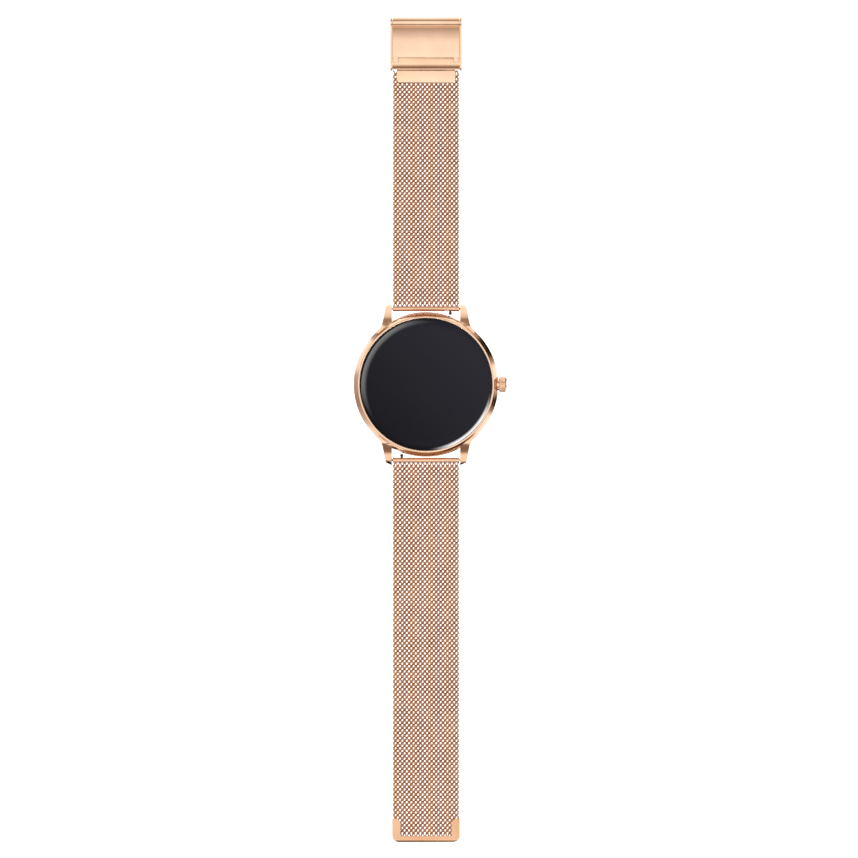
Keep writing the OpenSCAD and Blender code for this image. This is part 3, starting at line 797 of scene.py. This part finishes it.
    def lay(
        self,
        tree: bpy.types.NodeTree,
        given: bpy.types.NodeOutputs,
        index: bpy.types.Node,
        both: bpy.types.Node,
    ) -> bpy.types.Node:
        """Lays the rows: every second one is the coil that starts half a turn on.

        Args:
            tree: The strap's node tree.
            given: Its inputs.
            index: The point's number.
            both: The two coils as instances.

        Returns:
            The node that gives the rows as real geometry.
        """
        gap, first = given["Row gap"], given["First row"]
        past = add_node(tree, "ShaderNodeMath", {0: first, 1: gap}, operation="MULTIPLY")
        begin = add_node(tree, "ShaderNodeMath", {0: given["Start"], 1: past}, operation="ADD")
        rows = add_node(
            tree,
            "GeometryNodeMeshLine",
            {
                "Count": given["Rows"],
                "Start Location": add_node(tree, "ShaderNodeCombineXYZ", {"Y": begin}),
                "Offset": add_node(tree, "ShaderNodeCombineXYZ", {"Y": gap}),
            },
        )
        number = add_node(tree, "ShaderNodeMath", {0: index, 1: first}, operation="ADD")
        odd = add_node(tree, "ShaderNodeMath", {0: number, 1: 2.0}, operation="MODULO")
        laid = add_node(
            tree,
            "GeometryNodeInstanceOnPoints",
            {"Points": rows, "Instance": both, "Pick Instance": True, "Instance Index": odd},
        )
        return add_node(tree, "GeometryNodeRealizeInstances", {"Geometry": laid})

    def slope(
        self, tree: bpy.types.NodeTree, given: bpy.types.NodeOutputs, real: bpy.types.Node
    ) -> bpy.types.Node:
        """Lifts the rows to the mesh's height, with the slope down from the end tube.

        Args:
            tree: The strap's node tree.
            given: Its inputs.
            real: The rows, flat at height 0.

        Returns:
            The node that gives the rows at their height.
        """
        position = add_node(tree, "GeometryNodeInputPosition")
        where = add_node(tree, "ShaderNodeSeparateXYZ", {0: position})
        height = add_node(
            tree,
            "ShaderNodeMapRange",
            {
                "Value": where.outputs[1],
                "From Min": given["Bar place"],
                "From Max": given["Slope end"],
                "To Min": given["Bar height"],
                "To Max": given["Mesh height"],
            },
            interpolation_type="SMOOTHSTEP",
        )
        lift = add_node(tree, "ShaderNodeCombineXYZ", {"Z": height})
        return add_node(tree, "GeometryNodeSetPosition", {"Geometry": real, "Offset": lift})

    def weave(self, name: str, first: int, count: int) -> bpy.types.Object:
        """Weaves some rows as one plain mesh.

        Args:
            name: The piece's name.
            first: Number of its first row.
            count: How many rows it has.

        Returns:
            The piece, in place.
        """
        values = {
            "First row": first,
            "Rows": count,
            "Row gap": self.row_gap * MM,
            "Turn pitch": self.pitch * MM,
            "Turns": self.turns,
            "Wire radius": self.wire_r * MM,
            "Half width": self.half_w * MM,
            "Half height": self.half_h * MM,
            "Loop power": self.loop_power,
            "Start": (self.start + self.half_w) * MM,
            "Bar place": self.bar_y * MM,
            "Slope end": (self.start + self.step) * MM,
            "Bar height": self.bar_z * MM,
            "Mesh height": self.middle * MM,
            "Turn round": self.side.turn,
            "Wire": WIRE_DRAWN.material(),
        }
        holder = bpy.data.objects.new(f"{name}_loom", bpy.data.meshes.new(f"{name}_loom"))
        bpy.context.scene.collection.objects.link(holder)
        loom = holder.modifiers.new("loom", "NODES")
        loom.node_group = self.tree
        for item in self.tree.interface.items_tree:
            if item.in_out == "INPUT":
                loom[item.identifier] = values[item.name]
        piece = plain_mesh(name, holder)
        report(piece)
        return piece

    def bend_y(self, k: int) -> float:
        """Distance of bend k from the watch's middle."""
        return self.start + k * self.step

    def row_at(self, y: float) -> int:
        """Number of the first row whose middle lies past y."""
        return max(0, math.ceil((y - self.start - self.half_w) / self.row_gap))

    def build(self) -> list[bpy.types.Object]:
        """Builds every stretch; the first and the last ride on their strap links, and the others stay
        where they are built.

        Returns:
            The pieces, from the case outwards.
        """
        self.tree = self.build_tree()
        prefix = self.side.value
        made = []
        for k in range(self.links + 1):
            low = self.row_at(self.bend_y(k) - self.step / 2)
            high = min(self.rows, self.row_at(self.bend_y(k) + self.step / 2))
            if k == self.links:
                high = self.rows
            piece = self.weave(f"{prefix}_weave_{k}", low, high - low)
            if k:
                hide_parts(f"{prefix}_mesh_{k}")
            if k in (0, self.links):
                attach(piece, f"{prefix}_strap_{max(1, k)}")
            else:
                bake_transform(piece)
            made.append(piece)
        return made


# ---------- The watch ----------


@dataclass
class Watch:
    """The hard parts of the watch: each CAD node's surface, and the pieces with broken edges.

    Sizes are the widths of the broken edges, in millimetres.
    """

    case_edge: float = 0.12
    ring_edge: float = 0.04
    trim_edge: float = 0.08
    sheet_edge: float = 0.07

    def dress_nodes(self) -> None:
        """Gives every CAD node its own surface."""
        finishes = dict(NODE_FINISH)
        for side in Side:
            finishes.update({f"{side.value}_{node}": finish for node, finish in END_FINISH.items()})
        for name, obj in frame["nodes"].items():
            obj.data.materials.clear()
            obj.data.materials.append(finishes.get(name, WIRE_DRAWN).material())

    def build(self) -> dict[str, bpy.types.Object]:
        """Builds the pieces that stand in for the visible hard nodes.

        Returns:
            The pieces by their CAD node's name.
        """
        self.dress_nodes()
        edges = {
            "case_shell": (self.case_edge, "polished_case"),
            "bezel_ring": (self.ring_edge, "polished_trim"),
            "crown_head": (self.trim_edge, "polished_trim"),
            "clasp_frame": (self.trim_edge, "polished_trim"),
            "clasp_cover": (self.trim_edge, "polished_trim"),
            "clasp_tongue": (self.sheet_edge, "polished_trim"),
            "end_cap": (self.sheet_edge, "polished_trim"),
            "glass": (0.0, "cover_glass"),
        }
        return {
            node: softened(node, NODE_FINISH[node], edge)
            for node, (edge, slot) in edges.items()
        }


# ---------- Light, floor and camera ----------


@dataclass(frozen=True)
class SoftBox:
    """A soft box that fades towards its ends, and from its lower edge upwards.

    Angles are in degrees, the azimuth seen from above, from +X towards +Y. Sizes are in
    millimetres and the power is in watts.
    """

    name: str
    azimuth: float
    elevation: float
    width: float
    height: float
    power: float
    distance: float = 700.0
    rise: Stops = ((0.0, 1.0), (0.25, 0.8), (1.0, 0.0))
    ends: Stops = ((0.0, 0.0), (0.35, 1.0), (0.65, 1.0), (1.0, 0.0))

    def hang(self, only: bpy.types.Collection) -> None:
        """Hangs the soft box, facing the watch.

        Args:
            only: The pieces that it lights.
        """
        lamp = bpy.data.lights.new(self.name, "AREA")
        lamp.shape = "RECTANGLE"
        lamp.size, lamp.size_y = self.width * MM, self.height * MM
        lamp.energy = self.power
        obj = bpy.data.objects.new(self.name, lamp)
        a, e = math.radians(self.azimuth), math.radians(self.elevation)
        way = Vector((math.cos(a) * math.cos(e), math.sin(a) * math.cos(e), math.sin(e)))
        obj.location = way * self.distance * MM
        obj.rotation_euler = way.to_track_quat("Z", "Y").to_euler()
        obj.light_linking.receiver_collection = only
        lamp.use_nodes = True
        tree = lamp.node_tree
        tree.nodes.clear()
        panel = add_node(tree, "ShaderNodeNewGeometry").outputs["Parametric"]
        spot = add_node(tree, "ShaderNodeSeparateXYZ", {0: panel})
        across, up = (
            add_node(
                tree,
                "ShaderNodeValToRGB",
                {"Fac": spot.outputs[axis]},
                [(place, card_tone(value, False)) for place, value in stops],
                easing="EASE",
            )
            for axis, stops in enumerate((self.ends, self.rise))
        )
        glow = add_node(tree, "ShaderNodeEmission", {"Color": up, "Strength": across})
        add_node(tree, "ShaderNodeOutputLight", {"Surface": glow})
        bpy.context.scene.collection.objects.link(obj)


@dataclass
class Studio:
    """A pale floor far below the watch, a soft tent with dark gaps, two soft boxes and the camera.

    Sizes are in millimetres, and a plain white card has brightness 1. The tent is three sets of
    cards: the wall below the watch, by direction in degrees from +X; the dome, by height; and the
    cards along the strap, by how far they lie towards 12 o'clock. The sides say by direction how
    much the cards along the strap take over from the dome.
    """

    floor_z: float = -300.0
    floor_half: float = 4000.0
    floor_colour: str = "#F4F4F4"
    floor_roughness: float = 0.9
    floor_glow: float = 0.7
    view_width: float = 250.9
    view_x: float = 0.88
    view_y: float = -13.04
    view_z: float = 600.0
    view_depth: float = 10000.0
    wall: Stops = (
        (-180, 0.55), (-165, 0.42), (-152, 0.7), (-140, 1.2), (-126, 0.9), (-112, 1.2),
        (-104, 0.35), (-97, 0.03), (-58, 0.03), (-50, 0.35), (-42, 1.35), (-27, 1.3),
        (-21, 0.35), (-17, 0.05), (-12, 0.05), (-7, 0.5), (-1, 1.4), (14, 1.4), (20, 0.4),
        (25, 0.02), (39, 0.02), (45, 0.5), (52, 1.4), (120, 1.6), (126, 0.4), (131, 0.12),
        (137, 0.5), (144, 1.4), (165, 1.2), (174, 0.6), (180, 0.55),
    )
    dome: Stops = ((0.0, 0.55), (0.22, 0.3), (0.5, 0.6), (0.8, 1.12), (1.0, 1.3))
    along: Stops = (
        (-1.0, 1.35), (-0.97, 1.3), (-0.9, 0.35), (-0.82, 0.28), (-0.6, 1.0), (-0.42, 1.5),
        (-0.2, 1.42), (0.0, 1.3), (0.22, 1.25), (0.4, 0.9), (0.56, 0.55), (0.85, 0.42),
        (0.94, 1.1), (1.0, 1.35),
    )
    sides: Stops = (
        (-180, 0.0), (-125, 0.0), (-105, 1.0), (-75, 1.0), (-55, 0.0), (55, 0.0), (75, 1.0),
        (105, 1.0), (125, 0.0), (180, 0.0),
    )
    # Heights, as a share of straight up, between which the wall gives way to the roof.
    wall_top: tuple[float, float] = (-0.3, 0.0)
    # Heights between which the wall comes up from the dim patch straight below.
    patch_rim: tuple[float, float] = (-0.995, -0.97)
    patch_dim: float = 0.5
    boxes: tuple[SoftBox, ...] = (
        SoftBox("upper_left_box", 148.0, 58.0, 1300.0, 460.0, 62.0),
        SoftBox("lower_right_box", -47.0, 40.0, 900.0, 240.0, 120.0),
    )

    def floor(self) -> None:
        """Lays the floor, which stays out of the metal's reflections and is clear from below."""
        half, z = self.floor_half * MM, self.floor_z * MM
        corners = [(-half, -half, z), (half, -half, z), (half, half, z), (-half, half, z)]
        mesh = bpy.data.meshes.new("floor")
        mesh.from_pydata(corners, [], [(0, 1, 2, 3)])
        obj = bpy.data.objects.new("floor", mesh)
        bpy.context.scene.collection.objects.link(obj)
        obj.visible_glossy = obj.visible_diffuse = obj.visible_shadow = False
        mesh.materials.append(self.floor_paint())

    def floor_paint(self) -> bpy.types.Material:
        """Mixes the floor's matt white.

        Returns:
            The material.
        """
        paint = bpy.data.materials.new("matt_white_sweep")
        paint.use_nodes = True
        tree = paint.node_tree
        tree.nodes.clear()
        shader = add_node(
            tree,
            "ShaderNodeBsdfPrincipled",
            {
                "Base Color": linear(self.floor_colour),
                "Roughness": self.floor_roughness,
                "Emission Color": (1.0, 1.0, 1.0, 1.0),
                "Emission Strength": self.floor_glow,
            },
        )
        side = add_node(tree, "ShaderNodeNewGeometry").outputs["Backfacing"]
        clear = add_node(tree, "ShaderNodeBsdfTransparent")
        under = add_node(tree, "ShaderNodeMixShader", {0: side, 1: shader, 2: clear})
        add_node(tree, "ShaderNodeOutputMaterial", {"Surface": under})
        return paint

    def tent(self) -> None:
        """Fills the room: a bright roof, a dim horizon, a low wall with gaps for the case."""
        world = bpy.data.worlds.new("tent")
        world.use_nodes = True
        tree = world.node_tree
        tree.nodes.clear()
        sky = add_node(tree, "ShaderNodeTexCoord").outputs["Generated"]
        x, y, z = add_node(tree, "ShaderNodeSeparateXYZ", {0: sky}).outputs[:3]
        turn = add_node(tree, "ShaderNodeMath", {0: y, 1: x}, operation="ARCTAN2")
        around = add_node(
            tree, "ShaderNodeMapRange", {"Value": turn, "From Min": -math.pi, "From Max": math.pi}
        )
        shift = add_node(
            tree, "ShaderNodeMapRange", {"Value": y, "From Min": -1.0, "From Max": 1.0}
        )
        wall, sides, dome, along = (
            add_node(
                tree,
                "ShaderNodeValToRGB",
                {"Fac": factor},
                [((place - low) / span, card_tone(value, warm)) for place, value in stops],
                easing="EASE",
            )
            for factor, stops, low, span, warm in (
                (around, self.wall, -180, 360, True),
                (around, self.sides, -180, 360, False),
                (z, self.dome, 0, 1, True),
                (shift, self.along, -1, 2, True),
            )
        )
        roof = add_node(
            tree, "ShaderNodeMix", {"Factor": sides, 6: dome, 7: along}, data_type="RGBA"
        )
        low, high = self.wall_top
        rise = add_node(
            tree,
            "ShaderNodeMapRange",
            {"Value": z, "From Min": low, "From Max": high},
            interpolation_type="SMOOTHSTEP",
        )
        room = add_node(
            tree, "ShaderNodeMix", {"Factor": rise, 6: wall, 7: roof.outputs[2]}, data_type="RGBA"
        )
        low, high = self.patch_rim
        dim = self.patch_dim
        deep = add_node(
            tree,
            "ShaderNodeMapRange",
            {"Value": z, "From Min": low, "From Max": high, "To Min": dim, "To Max": 1.0},
        )
        back = add_node(
            tree, "ShaderNodeBackground", {"Color": room.outputs[2], "Strength": deep}
        )
        add_node(tree, "ShaderNodeOutputWorld", {"Surface": back})
        bpy.context.scene.world = world

    def camera(self) -> None:
        """Sets the camera straight above, 12 o'clock up."""
        data = bpy.data.cameras.new("camera")
        data.type = "ORTHO"
        data.ortho_scale = self.view_width * MM
        data.clip_end = self.view_depth * MM
        obj = bpy.data.objects.new("camera", data)
        obj.location = (self.view_x * MM, self.view_y * MM, self.view_z * MM)
        bpy.context.scene.collection.objects.link(obj)
        bpy.context.scene.camera = obj

    def build(self, glass: bpy.types.Object) -> None:
        """Sets up the whole studio.

        Args:
            glass: The cover glass, which the soft boxes light alone.
        """
        panes = bpy.data.collections.new("glass_only")
        panes.objects.link(glass)
        self.floor()
        self.tent()
        for box in self.boxes:
            box.hang(panes)
        self.camera()
        bpy.context.scene.view_settings.view_transform = "Standard"


def main() -> None:
    """Builds the watch, its strap and the studio, in order."""
    logging.basicConfig(level=logging.INFO, format="%(message)s")
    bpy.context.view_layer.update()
    parts = Watch().build()
    WovenStrap(Side.UPPER, links=6, length=69.4, row_gap=0.742).build()
    WovenStrap(Side.LOWER, links=9, length=109.6, row_gap=0.75).build()
    Studio().build(parts["glass"])


if __name__ == "__main__":
    main()
